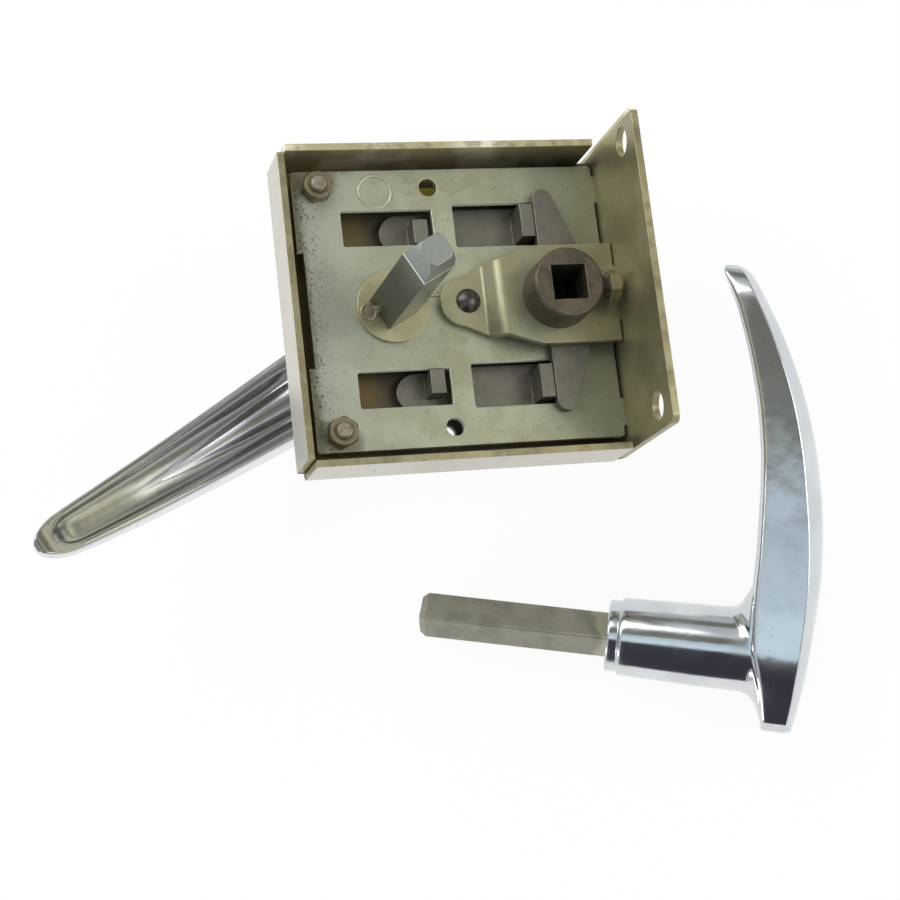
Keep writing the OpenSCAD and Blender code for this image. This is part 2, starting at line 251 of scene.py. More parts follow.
# %% [markdown]
# Three soft lamps light the lock. What the chrome mirrors is set apart from that light: boards that only
# reflections see stand round the table, as card is propped up in a studio. Dark ones stand for the dim
# side of a room, a pale blue one for a window, and a white one fills the long bevels of the handles.

# %% Lamps and boards
def from_table(across, up, height):
    """A place given across, up the picture and above the table, in metres."""
    return table_place @ Vector((across, up, height))


AIM = from_table(0, 0, 0.05)


def aimed(place):
    """A frame at a place, level with the table, whose -Z axis looks at the lock."""
    back = (place - AIM).normalized()
    level = TABLE_UP.cross(back).normalized()
    turned = Matrix((level, back.cross(level), back)).transposed().to_4x4()
    return Matrix.Translation(place) @ turned


def area_lamp(name, place, size, watts):
    data = bpy.data.lights.new(name, "AREA")
    data.shape = "RECTANGLE"
    data.size, data.size_y = size
    data.energy = watts
    lamp = bpy.data.objects.new(name, data)
    bpy.context.collection.objects.link(lamp)
    lamp.matrix_world = aimed(place)


def board(name, place, size, colour):
    """A plain board of one colour that only reflections see."""
    card = bmesh.new()
    bmesh.ops.create_grid(card, x_segments=1, y_segments=1, size=0.5)
    bmesh.ops.scale(card, vec=(size[0], size[1], 1), verts=card.verts)
    bmesh.ops.transform(card, matrix=aimed(place), verts=card.verts)
    made = new_piece(name, card)
    made.visible_camera = False
    made.visible_shadow = False
    made.visible_diffuse = False
    material, tree = blank_material(name)
    shade = node(tree, "ShaderNodeEmission", None, {"Color": (*colour, 1), "Strength": 1.0})[0]
    finish_material(tree, shade)
    made.data.materials.append(material)


area_lamp("window_lamp", from_table(-0.45, 0.55, 0.75), (0.9, 0.7), 6.0)
area_lamp("right_lamp", from_table(0.75, 0.1, 0.65), (0.6, 0.7), 3.6)
area_lamp("low_lamp", from_table(-0.75, -0.7, 0.5), (0.5, 0.4), 2.0)
board("dark_board", from_table(0, -0.47, 0.36), (0.36, 0.8), (0.048, 0.047, 0.062))
board("brown_board", from_table(0, -0.245, 0.71), (0.5, 0.08), (0.11, 0.085, 0.075))
board("window_board", from_table(0, -0.135, 0.72), (0.5, 0.15), (0.78, 0.93, 1))
board("middle_board", from_table(0, -0.01, 0.74), (0.5, 0.1), (0.64, 0.75, 0.84))
board("ceiling_board", from_table(0, 0.17, 0.74), (0.5, 0.24), (0.2, 0.2, 0.17))
board("ridge_board", from_table(0.36, -0.1, 0.66), (0.16, 0.7), (0.1, 0.1, 0.13))
board("plate_board", from_table(0.5, 0.39, 0.79), (0.5, 0.5), (0.5, 0.49, 0.43))
board("right_board", from_table(0.95, -0.2, 0.3), (1.1, 0.6), (0.95, 0.93, 0.96))
board("corner_board", from_table(0.75, 0.62, 0.32), (0.55, 0.5), (0.28, 0.28, 0.22))
board("left_board", from_table(-0.85, -0.15, 0.5), (0.9, 0.35), (0.04, 0.04, 0.045))
board("top_board", from_table(0.15, 0.95, 0.45), (0.5, 0.3), (0.2, 0.2, 0.18))
print("lamps and boards placed")

# %% [markdown]
# All the metal finishes share one recipe. Base tones drift between two colours over a few millimetres,
# fine grain breaks up the shine, dark specks sit in the pores, and edges are rubbed brighter. The Bevel
# node gives each sharp edge of a solid a small round, as a deburred edge has, and comparing that round
# with the flat face shows where the edge is, so the rub follows the shape.

# %% Metal recipe
def rgb(red, green, blue):
    """A colour as a monitor shows it, turned to the linear values that shaders use."""
    parts = []
    for value in (red, green, blue):
        share = value / 255
        parts.append(share / 12.92 if share <= 0.04045 else ((share + 0.055) / 1.055) ** 2.4)
    return (*parts, 1)


class Metal:
    """One metal finish, built up step by step and closed by done()."""

    def __init__(self, name, first, second, patch=0.008, shine=0.42, metallic=0.7, edge=0.0003):
        self.material, self.tree = blank_material(name)
        coords = self.tree.nodes.new("ShaderNodeTexCoord")
        self.place = Socket(self.tree, coords.outputs["Object"])
        self.normal = Socket(self.tree, coords.outputs["Normal"])
        parts = node(self.tree, "ShaderNodeSeparateXYZ", None, {0: self.place})
        self.x, self.y, self.z = parts[:3]
        self.metallic = metallic
        drift = self.noise(patch, 4)
        self.colour = blend(fade(drift, 0.36, 0.64), first, second)
        grain = self.noise(0.0007, 3)
        self.shine = shine - 0.1 + 0.12 * grain + 0.08 * drift
        self.round = node(self.tree, "ShaderNodeBevel", {"samples": 6}, {"Radius": edge})[0]
        flat = output_of(self.tree, "ShaderNodeNewGeometry", "True Normal")
        match = node(self.tree, "ShaderNodeVectorMath", {"operation": "DOT_PRODUCT"},
                     {0: self.round, 1: flat})[1]
        self.rim = fade(1 - match, 0.015, 0.16)
        self.bump = 0.35 * grain + 0.65 * drift
        self.depth = 0.00004

    def facing(self, axis):
        """How squarely a face looks along an axis, from -1 to 1. The axes are 0, 1 and 2."""
        return node(self.tree, "ShaderNodeSeparateXYZ", None, {0: self.normal})[axis]

    def noise(self, size, detail, stretch=(1, 1, 1)):
        """Cloudy noise whose clouds are about size metres across."""
        place = node(self.tree, "ShaderNodeMapping", None, {0: self.place, "Scale": stretch})[0]
        return node(self.tree, "ShaderNodeTexNoise", None,
                    {"Vector": place, "Scale": 1 / size, "Detail": detail, "Roughness": 0.6})[0]

    def tint(self, mask, colour, shine=None):
        """Lays a colour where the mask is 1, and changes the shine there if asked."""
        self.colour = blend(mask, self.colour, colour)
        if shine is not None:
            self.shine = self.shine + mask * (shine - self.shine)

    def dull(self, mask):
        """Takes the metal look away where the mask is 1."""
        self.metallic = self.metallic - self.metallic * mask

    def specks(self, size, share, colour):
        """Dark pores where fine noise is high."""
        self.tint(0.8 * fade(self.noise(size, 2), share, share + 0.06), colour, 0.7)

    def rubbed(self, colour, amount=0.8):
        """Edges rubbed to brighter metal."""
        worn = self.rim * fade(self.noise(0.004, 3), 0.3, 0.6)
        self.tint(amount * worn, colour, 0.3)

    def done(self):
        bump = node(self.tree, "ShaderNodeBump", None,
                    {"Strength": 0.5, "Distance": self.depth, "Height": self.bump, "Normal": self.round})[0]
        shader = node(self.tree, "ShaderNodeBsdfPrincipled", None,
                      {"Base Color": self.colour, "Roughness": self.shine, "Metallic": self.metallic,
                       "Normal": bump})[0]
        finish_material(self.tree, shader)
        return self.material


def dress(material, *names):
    """Gives a finish to every material slot of the named CAD nodes."""
    for name in names:
        data = bpy.data.objects[name].data
        if not data.materials:
            data.materials.append(material)
        for index in range(len(data.materials)):
            data.materials[index] = material
    print(material.name, "on", ", ".join(names))


print("metal recipe ready")

# %% [markdown]
# The case is folded from sheet that was zinc plated and passivated. That layer is thin and glassy, so it
# takes an olive tone inside the case, with straw clouds. The outside is painted paler, as painted light on
# its lit faces, with darker smears. The inner top wall is painted pale with blotches of painted reflection.
# The floor inside, seen through the windows, has browned with old grease and is painted darker still as
# painted shade under the plate, with a patch of painted light at its left end. Under the plate's upper hole
# it is painted bright yellow as painted light, with its upper half in painted shadow. The masks give places
# in the lock's own millimetres.

# %% Case finish
case = Metal("zinc_case_finish", rgb(144, 138, 106), rgb(163, 157, 123), patch=0.012, shine=0.36)
cloud = fade(case.noise(0.02, 2), 0.52, 0.7)
case.tint(0.35 * cloud, rgb(168, 152, 108))
# Painted light: the outside faces are painted paler.
outside = fade(abs(case.y), 46.6 * MM, 46.68 * MM)
outside = either(outside, fade(-case.x, 97.9 * MM, 97.98 * MM))
outside = either(outside, fade(-case.z, 37.4 * MM, 37.48 * MM))
case.tint(0.9 * outside, rgb(209, 205, 194), 0.34)
upper_side = fade(case.y, 46.62 * MM, 46.69 * MM)
case.tint(0.7 * upper_side, rgb(152, 146, 128), 0.44)
smear = fade(case.noise(0.014, 3, (1, 1, 0.4)), 0.5, 0.72)
case.tint(0.4 * outside * smear, rgb(196, 188, 164))
# Painted reflection: the inner top wall and its rim are painted pale, with blotches of painted glint.
top_wall = fade(case.y, 44.4 * MM, 44.6 * MM) * (1 - outside)
glint = fade(case.noise(0.016, 2, (1, 0.3, 0.7)), 0.46, 0.66)
case.tint(0.9 * top_wall, blend(glint, rgb(196, 186, 146), rgb(250, 242, 214)))
# Old grease and painted shade: the inner floor under the plate is darkened.
inner_floor = fade(-case.z, 34.9 * MM, 35.2 * MM) * (1 - outside)
case.tint(0.9 * inner_floor, rgb(68, 58, 50), 0.5)
# Painted light: the left end of the inner floor is painted golden; the rest stays in painted shade.
floor_light_patch = fade(-case.x + 0.006 * case.noise(0.004, 4, (1, 3, 1)), 71 * MM, 79 * MM)
case.tint(0.8 * inner_floor * floor_light_patch, rgb(118, 102, 62))
# Painted light: the floor under the upper hole is painted bright yellow and loses its metal look; its upper
# half is painted shadow.
under_x = case.x + 50.4 * MM
under_y = case.y - 37.7 * MM
under_hole = inner_floor * (1 - fade(distance(under_x, under_y), 3 * MM, 5 * MM))
shaded = fade(under_y, 1.15 * MM, 1.4 * MM)
case.tint(0.9 * under_hole, blend(shaded, rgb(255, 234, 96), rgb(96, 76, 60)), 0.5)
case.dull(under_hole)
facing_up = fade(case.facing(2), 0.8, 0.95)
rim_stain = facing_up * (1 - inner_floor) * fade(case.noise(0.005, 4), 0.46, 0.64)
case.tint(0.55 * rim_stain, rgb(116, 98, 76), 0.5)
case.specks(0.0011, 0.71, rgb(84, 78, 60))
case.rubbed(rgb(190, 182, 160))
dress(case.done(), "lock_case")

# %% [markdown]
# The lock plate is bright zinc with a faint blue-green passivation. It has a dull, watery look with fine
# pin marks. Grease and dust have gathered along its left edge and round its nuts, where a cloth can't
# reach, so that grime is driven by the place on the plate. The upper walls of its windows face the low
# lamp and are painted nearly white with no metal look, as painted light.

# %% Plate finish
plate = Metal("zinc_plate_finish", rgb(157, 157, 131), rgb(171, 173, 149), patch=0.011, shine=0.42,
              metallic=0.6, edge=0.0005)
blue = fade(-plate.x, 55 * MM, 92 * MM)
plate.tint(0.35 * blue, rgb(160, 172, 164))
olive = fade(plate.x, -40 * MM, -8 * MM)
plate.tint(0.6 * olive, rgb(132, 134, 112))
left_edge = fade(-plate.x + 0.004 * plate.noise(0.003, 4), 91.5 * MM, 94.5 * MM)
plate.tint(0.75 * left_edge, rgb(92, 88, 66), 0.65)
blot = fade(plate.noise(0.0035, 4), 0.6, 0.7)
plate.tint(0.3 * blot, rgb(124, 126, 104), 0.55)
nut_y = abs(plate.y) - 39 * MM
nut_grime = 1 - fade(distance(plate.x + 86.3 * MM, nut_y) - 0.002 * blot, 4.6 * MM, 7.5 * MM)
plate.tint(0.6 * nut_grime, rgb(106, 96, 68), 0.55)
near_left = fade(-plate.x, 82 * MM, 93 * MM)
crumbs = fade(plate.noise(0.0009, 3) + 0.14 * near_left, 0.68, 0.74)
plate.tint(0.75 * crumbs, rgb(70, 66, 52), 0.7)
plate.specks(0.0011, 0.69, rgb(104, 102, 84))
plate.rubbed(rgb(236, 234, 216), 1.0)
# Painted light: window walls that face the low lamp are painted nearly white, with their metal look taken
# away.
lamp_facing_walls = fade(-plate.facing(1), 0.6, 0.9) * (1 - fade(nut_y, -6 * MM, -5 * MM))
plate.tint(0.95 * lamp_facing_walls, rgb(252, 250, 238), 0.6)
plate.dull(lamp_facing_walls)
dress(plate.done(), "lock_plate")

# %% [markdown]
# The bridge and the spindle's washer were passivated in a stronger bath, which leaves a yellow-green
# layer. It has a rainbow drift where the layer changes thickness, so one tone leans to straw and the
# other to grey-green.

# %% Yellow zinc finish
yellow = Metal("zinc_yellow_finish", rgb(146, 144, 116), rgb(158, 154, 124), patch=0.009, shine=0.36)
green = fade(yellow.noise(0.012, 2), 0.5, 0.66)
yellow.tint(0.5 * green, rgb(148, 154, 132))
# Painted light: the washer is painted lighter, against the shadow the spindle casts on it.
washer = fade(-yellow.x, 55.2 * MM, 55.6 * MM)
yellow.tint(0.85 * washer, rgb(180, 174, 138))
yellow.specks(0.0012, 0.69, rgb(100, 96, 70))
yellow.rubbed(rgb(222, 216, 180), 0.9)
dress(yellow.done(), "hub_bridge", "spindle_washer")

# %% [markdown]
# The moving pieces and the posts are plain steel that has gone dull and grey-brown in oil. They are
# blanked from thick strip, so their flat faces keep fine rolling lines and their sheared edges catch the
# light.

# %% Working steel finish
strip = Metal("strip_steel_finish", rgb(113, 110, 99), rgb(123, 119, 108), patch=0.006, shine=0.44)
lines = strip.noise(0.0008, 3, (0.2, 2, 1))
strip.bump = strip.bump + 0.5 * lines
strip.tint(0.35 * fade(strip.noise(0.008, 3), 0.52, 0.68), rgb(100, 92, 76))
strip.specks(0.0012, 0.69, rgb(58, 54, 48))
strip.rubbed(rgb(178, 174, 162), 0.9)
dress(strip.done(), "bolt_yoke", "latch_bolt", "bolt_rivets", "hub_cam", "spring_posts", "stud_sleeves",
      "outside_follower")

# %% [markdown]
# The hub was turned from bar and has a thin brown oxide on it. Turning leaves rings, so the rings run
# round the hub's own axis.

# %% Hub finish
TURNING_PITCH = 0.0007
hub = Metal("brown_hub_finish", rgb(76, 71, 58), rgb(92, 86, 71), patch=0.005, shine=0.42)
radius = distance(hub.x - HUB_X, hub.y)
rings = radius.math("SINE", radius * (2 * math.pi / TURNING_PITCH))
hub.bump = hub.bump + 0.12 * rings
hub.tint(0.5 * fade(hub.noise(0.006, 3), 0.5, 0.66), rgb(108, 94, 78))
hub.specks(0.0013, 0.64, rgb(60, 54, 46))
hub.rubbed(rgb(176, 168, 150), 0.8)
dress(hub.done(), "inside_hub")

# %% [markdown]
# The screws, studs and nuts are small bright-plated parts that have yellowed. The rivet is dark and
# burnished by the hammer that closed it.

# %% Fastener finishes
nut = Metal("yellowed_nut_finish", rgb(122, 112, 88), rgb(138, 128, 102), patch=0.003, shine=0.4)
nut.tint(0.5 * fade(nut.noise(0.003, 3), 0.5, 0.66), rgb(120, 100, 72))
nut.rubbed(rgb(206, 198, 172), 0.8)
dress(nut.done(), "plate_nuts")
stud = Metal("stud_finish", rgb(136, 127, 106), rgb(158, 150, 130), patch=0.003, shine=0.34)
stud.specks(0.0009, 0.62, rgb(84, 78, 64))
stud.rubbed(rgb(214, 210, 200))
dress(stud.done(), "plate_studs", "split_pin")
screw = Metal("set_screw_finish", rgb(132, 128, 98), rgb(150, 144, 112), patch=0.003, shine=0.36)
shank = 1 - fade(screw.x, -7.36 * MM, -7.32 * MM)
screw.tint(0.9 * shank, rgb(62, 50, 46), 0.5)
screw.rubbed(rgb(206, 200, 172), 0.8)
dress(screw.done(), "hub_set_screw")
dark = Metal("burnished_rivet_finish", rgb(66, 63, 58), rgb(86, 82, 76), patch=0.003, shine=0.3)
dark.rubbed(rgb(130, 126, 118))
dress(dark.done(), "bridge_rivet")

# %% [markdown]
# Both square bars are drawn steel. The outside one was filed to a blunt end after fitting, which left a
# bright, scored tip, with a painted highlight round it where the filed part begins. Its left face is
# darker, less so towards the tip. The inside one is dull, with a straw-coloured neck where plating washed
# over it.

# %% Bar finishes
def along_lever(metal):
    """Distance from the spindle's axis in the direction of the fitted lever."""
    return math.cos(LEVER_ANGLE) * (metal.x - SPINDLE_X) + math.sin(LEVER_ANGLE) * metal.y


def across_lever(metal):
    """Distance from the fitted lever's middle line."""
    return math.cos(LEVER_ANGLE) * metal.y - math.sin(LEVER_ANGLE) * (metal.x - SPINDLE_X)


def bar_finish(name, first, second):
    bar = Metal(name, first, second, patch=0.007, shine=0.4)
    bar.bump = bar.bump + 0.3 * bar.noise(0.0009, 3)
    bar.specks(0.0014, 0.7, rgb(64, 60, 52))
    bar.rubbed(rgb(190, 190, 182), 0.8)
    return bar


spindle = bar_finish("spindle_finish", rgb(120, 122, 108), rgb(136, 138, 122))
filed = fade(spindle.z, 17.4 * MM, 18.2 * MM)
spindle.tint(0.85 * filed, rgb(164, 171, 166), 0.26)
files = spindle.noise(0.0005, 2, (0.2, 3, 3))
spindle.bump = spindle.bump + 1.2 * filed * files
toward_tip = fade(spindle.z, 1 * MM, 17 * MM)
# Painted highlight: a white band where the filed tip begins, with its metal look taken away.
edge_highlight = fade(spindle.z, 16.9 * MM, 17.2 * MM)
edge_highlight = edge_highlight * (1 - fade(spindle.z, 17.9 * MM, 18.2 * MM))
spindle.tint(0.9 * edge_highlight, rgb(240, 242, 238), 0.5)
spindle.dull(edge_highlight)
end_face = fade(spindle.z, 25.6 * MM, 25.9 * MM)
scored = filed * fade(files, 0.5, 0.62) * (1 - 0.7 * end_face)
spindle.tint(0.7 * scored, rgb(104, 108, 104), 0.36)
# The left face is darker, less so towards the tip.
left_face = fade(along_lever(spindle), 4.8 * MM, 4.95 * MM)
darker_left_face = left_face * (1 - filed) * (1 - 0.75 * toward_tip)
spindle.tint(0.75 * darker_left_face, rgb(92, 93, 83), 0.46)
dress(spindle.done(), "outside_spindle")
bar = bar_finish("inside_bar_finish", rgb(136, 135, 122), rgb(154, 151, 136))
neck = fade(bar.x + 0.004 * bar.noise(0.004, 3), -2 * MM, 0.2 * MM)
bar.tint(0.8 * neck, rgb(188, 184, 160), 0.35)
bar_material = bar.done()
dress(bar_material, "inside_spindle")

# %% [markdown]
# The handles are zinc castings, ground, polished and chromed. Polishing softens every edge that the
# drawing shows sharp, and chrome would show each flat facet of a drawn solid, so the castings are
# modelled again. A grid is wrapped into a tube whose rings are cross-sections, and Subdivision Surface
# smooths it. Each handle has its own frame: a place is given along the blade from the bar's axis, across
# it, and out from the lock, so one set of numbers in millimetres serves both handles.

# %% Wrapping a grid
MERGE_GAP = 0.0000005


def wrapped_tube(mesh_name, stations, ring, place):
    """A grid wrapped into a closed tube. place gives the point for a station and a step round the ring."""
    mesh = bmesh.new()
    bmesh.ops.create_grid(mesh, x_segments=stations - 1, y_segments=ring, size=0.5)
    for vertex in mesh.verts:
        station = round((vertex.co.x + 0.5) * (stations - 1))
        step = round((vertex.co.y + 0.5) * ring) % ring
        vertex.co = place(station, step)
    bmesh.ops.remove_doubles(mesh, verts=mesh.verts, dist=MERGE_GAP)
    open_edges = [edge for edge in mesh.edges if edge.is_boundary]
    bmesh.ops.holes_fill(mesh, edges=open_edges, sides=0)
    bmesh.ops.recalc_face_normals(mesh, faces=mesh.faces)
    return new_piece(mesh_name, mesh)


def along_list(points, place):
    """Reads a value off a list of (place, value) points, in straight steps."""
    for (start, first), (end, last) in zip(points, points[1:]):
        if place <= end:
            share = max(0, (place - start) / (end - start))
            return first + share * (last - first)
    return points[-1][1]


def ease(value, low, high):
    """0 below low, 1 above high, with a soft change between."""
    share = max(0, min(1, (value - low) / (high - low)))
    return share * share * (3 - 2 * share)


print("grid wrapper ready")

# %% [markdown]
# The blade's section changes along it. Its crown rolls over in a bevel that ends at a ridge line, its side
# leans in a little to a round rim, and inside the rim is a finger channel. A low wedge runs out along the
# channel's floor from the boss and stiffens it. The lower end is ground off flat and its edge is eased.
# The lists give a value at places along the blade: how far out the rim is, half the width, and the depth
# of the bevel.

# %% Blade section
RIM = [(-24, 45.5), (-15.5, 43.9), (-9, 42.3), (0, 39.9), (10, 39), (18, 39), (30, 39.1), (46.5, 38.5),
       (59, 37.6), (68, 36.3), (76, 34.7), (88.5, 31.4), (97, 28.5), (104, 25.9), (110, 22.9), (118, 18.1)]
HALF = [(-23.3, 4.4), (-22.5, 6.1), (-20.2, 8.7), (-12, 11.5), (-9, 12.35), (-7, 12.75), (-5, 13),
        (0, 13.3), (11.6, 13.1), (24.3, 12.4), (38.8, 11.4), (58.2, 10.2), (83.4, 8.5), (100.9, 7.1),
        (118, 5.3)]
BEVEL = [(-23, 2.3), (-8, 3.4), (3, 3.6), (19, 4.2), (48, 5.2), (75, 4.5), (94, 4.1), (108, 3.5),
         (117, 2.2)]
STATIONS = [-23.3, -23.25, -22.9, -22.5, -21.4, -20.6, -20, -19.2, -16, -12, -10, -8, -6, -4, 0, 4, 8, 12,
            15, 18, 21, 25, 30, 36, 42, 48, 54, 60, 66, 72, 76, 80, 84, 90, 96, 101, 104, 105.5, 107, 108.2,
            109.2, 110, 110.8, 111.8, 113, 114.2, 115.2, 115.9, 116.4, 116.6]
CROWN_RADIUS = 156.5
CROWN_ALONG = 22.6
CROWN_BASE = -97.4
HEEL = 0.078
LEAN = 0.04
CHANNEL = 4.2
TIP_START = 111
TIP_LENGTH = 5.62
ROUND_START = 106
ROUND_LENGTH = 10.72
GROOVE_START = 103.5
GROOVE_LENGTH = 6.6
GROOVE_SHARE = 0.64
WEDGE_WIDTH = 4.6
WEDGE_TAPER = 3.8
END_EASED = [(-22.9, 0.94), (-23.27, 0.85)]
CROWN_SHARES = (0.975, 0.9, 0.75, 0.5, 0.25, 0)


def crown_at(along):
    """How far out the crown's middle line is: an arc, eased outwards towards the lower end."""
    arc = CROWN_BASE + math.sqrt(CROWN_RADIUS ** 2 - (along - CROWN_ALONG) ** 2)
    return arc + HEEL * max(0, 5 - along)


def quarter_round(along, start, length):
    """1 up to the start, then falling to 0 along a quarter ellipse."""
    share = max(0, min(0.999, (along - start) / length))
    return math.sqrt(1 - share ** 2)


def channel_depth(along):
    """Depth of the finger channel, fading in past the boss and out before the tip."""
    ends = ease(along, 12, 28) * (1 - ease(along, 106, 110.6))
    return CHANNEL * ends * along_list(HALF, along) / 12


def half_section(along):
    """Points (across, out) from the middle of the inner face, round one side, to the crown's middle."""
    half = along_list(HALF, along) * quarter_round(along, ROUND_START, ROUND_LENGTH)
    rim = along_list(RIM, along)
    crown = crown_at(along)
    bevel = along_list(BEVEL, along)
    ridge = crown - bevel
    lip = half * (1 - LEAN)
    depth = channel_depth(along)
    wall = GROOVE_SHARE * lip * (0.12 + 0.88 * quarter_round(along, GROOVE_START, GROOVE_LENGTH))
    wedge = min(0.75 * wall, WEDGE_WIDTH - WEDGE_TAPER * ease(along, 8, 84))
    rise = 0.8 * depth * (1 - ease(along, 30, 86))
    wedge_points = [(0, rim + depth - rise), (0.5 * wedge, rim + depth - 0.92 * rise),
                    (0.9 * wedge, rim + depth - 0.4 * rise)]
    channel_points = [(wedge + 0.2 * (wall - wedge), rim + depth), (0.84 * wall, rim + 0.86 * depth),
                      (wall, rim + 0.45 * depth), (1.08 * wall, rim + 0.1 * depth)]
    rim_points = [(0.78 * lip, rim), (0.88 * lip, rim + 0.05), (0.965 * lip, rim + 0.5), (lip, rim + 1.5)]
    side_points = [(lip + share * (half - lip), rim + share * (ridge - rim)) for share in (0.4, 0.75)]
    ridge_points = [(half - 0.02, ridge - 0.5), (0.998 * half, ridge - 0.1)]
    crown_points = [(share * half, crown - bevel * share ** 2) for share in CROWN_SHARES]
    return wedge_points + channel_points + rim_points + side_points + ridge_points + crown_points


def blade_ring(along):
    """The whole section at one place, shrunk at the tip and at the lower end so that both are round."""
    half_ring = half_section(along)
    tip = max(0, (along - TIP_START) / TIP_LENGTH)
    scale = (1 - min(1, tip) ** 3) ** (1 / 3)
    for place, share in END_EASED:
        if along < place:
            scale = share
    middle = 0.5 * (half_ring[0][1] + half_ring[-1][1])
    width = 1 if tip else scale
    half_ring = [(across * width, middle + (out - middle) * scale) for across, out in half_ring]
    return half_ring + [(-across, out) for across, out in half_ring[-2:0:-1]]


blade_rings = [blade_ring(along) for along in STATIONS]
print("blade rings", len(blade_rings), "of", len(blade_rings[0]), "points")

# %% [markdown]
# The boss is a round sleeve for the square bar, with a short collar that turns in the case. Where it meets
# the blade it flares in a fillet that follows the blade's inner face, stops at the blade's sides and runs
# down into the channel between the rims.

# %% Boss rings
SLEEVE = [(-3.6, 10.1), (-3.55, 10.4), (-3.2, 10.9), (-2.9, 10.99), (-0.6, 10.99), (-0.15, 10.9),
          (0.05, 11.1), (0.25, 11.6), (0.6, 11.85), (1.4, 11.95), (8, 12.1), (16, 12.3), (22, 12.5),
          (26, 12.6)]
FILLET_STEPS = 12
FILLET_POWER = 2.9
FILLET_START = 27.5
FILLET_SHORT = 4.2
FILLET_GROWTH = 5.4
CORE_DEPTH = 3.5
CORE_SHARE = 0.94
REACH_STEP = 0.1
SIDE_GAP = 0.25
ROUND = 72
NECK = 12.65
UP_REACH = 24
DOWN_REACH = 22


def flare_reach(angle):
    """How far the fillet spreads from the bar's axis at an angle from the blade's direction."""
    reach = NECK
    far = UP_REACH if math.cos(angle) > 0 else DOWN_REACH
    while reach < far:
        along = (reach + REACH_STEP) * math.cos(angle)
        across = (reach + REACH_STEP) * abs(math.sin(angle))
        if across > along_list(HALF, along) * (1 - LEAN) - SIDE_GAP:
            break
        reach += REACH_STEP
    return reach


def flare_spread(angle):
    """The fillet's reach with its corners rounded off."""
    around = [flare_reach(angle + math.radians(offset)) for offset in (-20, -10, 0, 10, 20)]
    return min(around[2], sum(around) / len(around))


def boss_point(station, step):
    """A point of the boss, along, across and out."""
    angle = 2 * math.pi * step / ROUND
    if station < len(SLEEVE):
        out, radius = SLEEVE[station]
    else:
        reach = flare_spread(angle)
        along = reach * math.cos(angle)
        side = abs(reach * math.sin(angle)) / along_list(HALF, along)
        dip = channel_depth(along) * (1 - ease(side, 0.5, 0.7))
        end = along_list(RIM, along) + dip
        length = FILLET_SHORT + dip + FILLET_GROWTH * (reach - NECK) / (UP_REACH - NECK)
        share = (station - len(SLEEVE)) / FILLET_STEPS
        radius = NECK + (reach - NECK) * min(1, share) ** FILLET_POWER
        out = end - max(0, 1 - share) * min(length, end - FILLET_START)
        if share > 1:
            out = end + CORE_DEPTH
            radius = CORE_SHARE * reach
    return radius * math.cos(angle), radius * math.sin(angle), out


print("flare up the blade", round(flare_spread(0), 1), "mm, down", round(flare_spread(math.pi), 1), "mm")

# %% [markdown]
# The two tubes become one casting with a Boolean union, which keeps the crisp line where the fillet meets
# the blade's side. Edges steeper than a set angle are marked sharp, so the shading stays smooth elsewhere.

# %% Castings
SHARP = math.radians(38)


def cast_lever(name, origin, blade_axis, bar_axis):
    """One handle, built in its own frame and set in the lock's."""
    side_axis = bar_axis.cross(blade_axis)

    def set_in(along, across, out):
        return origin + MM * (along * blade_axis + across * side_axis - out * bar_axis)

    def blade_point(station, step):
        return set_in(STATIONS[station], *blade_rings[station][step])

    blade = wrapped_tube(name + "_blade", len(STATIONS), len(blade_rings[0]), blade_point)
    boss = wrapped_tube(name + "_boss", len(SLEEVE) + FILLET_STEPS + 2, ROUND,
                        lambda station, step: set_in(*boss_point(station, step)))
    for tube, level in ((blade, 2), (boss, 1)):
        smooth = tube.modifiers.new("smooth", "SUBSURF")
        smooth.levels = level
        smooth.render_levels = level
    join = blade.modifiers.new("join", "BOOLEAN")
    join.operation = "UNION"
    join.solver = "MANIFOLD"
    join.object = boss
    ready = blade.evaluated_get(bpy.context.evaluated_depsgraph_get())
    data = bpy.data.meshes.new_from_object(ready)
    data.name = name
    data.materials.clear()
    bpy.data.objects.remove(blade)
    bpy.data.objects.remove(boss)
    for face in data.polygons:
        face.use_smooth = True
    data.set_sharp_from_angle(angle=SHARP)
    piece = bpy.data.objects.new(name, data)
    bpy.context.collection.objects.link(piece)
    print(name, len(data.polygons), "faces")
    return piece


OUTSIDE_ORIGIN = Vector((-67.6, 0, -37.8)) * MM
OUTSIDE_BLADE = Vector((math.cos(LEVER_ANGLE), math.sin(LEVER_ANGLE), 0))
OUTSIDE_BAR = Vector((0, 0, 1))
INSIDE_ORIGIN = Vector((4.4, -93.6, -73.05)) * MM
INSIDE_BLADE = Vector((0.16052, 0.95928, 0.2324))
INSIDE_BAR = Vector((-0.90985, 0.23508, -0.34191))
outside_cast = cast_lever("outside_lever_casting", OUTSIDE_ORIGIN, OUTSIDE_BLADE, OUTSIDE_BAR)
inside_cast = cast_lever("inside_lever_casting", INSIDE_ORIGIN, INSIDE_BLADE, INSIDE_BAR)
for cast, node_name, body in ((outside_cast, "outside_handle", "outside_lever"),
                              (inside_cast, "inside_handle", "inside_lever")):
    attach(cast, body)
    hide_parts(node_name)

# %% [markdown]
# The inside bar is plain square stock with rounded corners, and its end was chamfered so that it finds
# the hub's square hole. A cube is stretched, its long edges are bevelled, and the end face is extruded
# and drawn in.

# %% Inside bar
BAR_SIDE = 10
BAR_START = -20
BAR_SHOULDER = 59.6
BAR_END = 61.4
BAR_TIP = 0.78
BAR_CORNER = 0.55
BAR_CLOCK = math.radians(39)


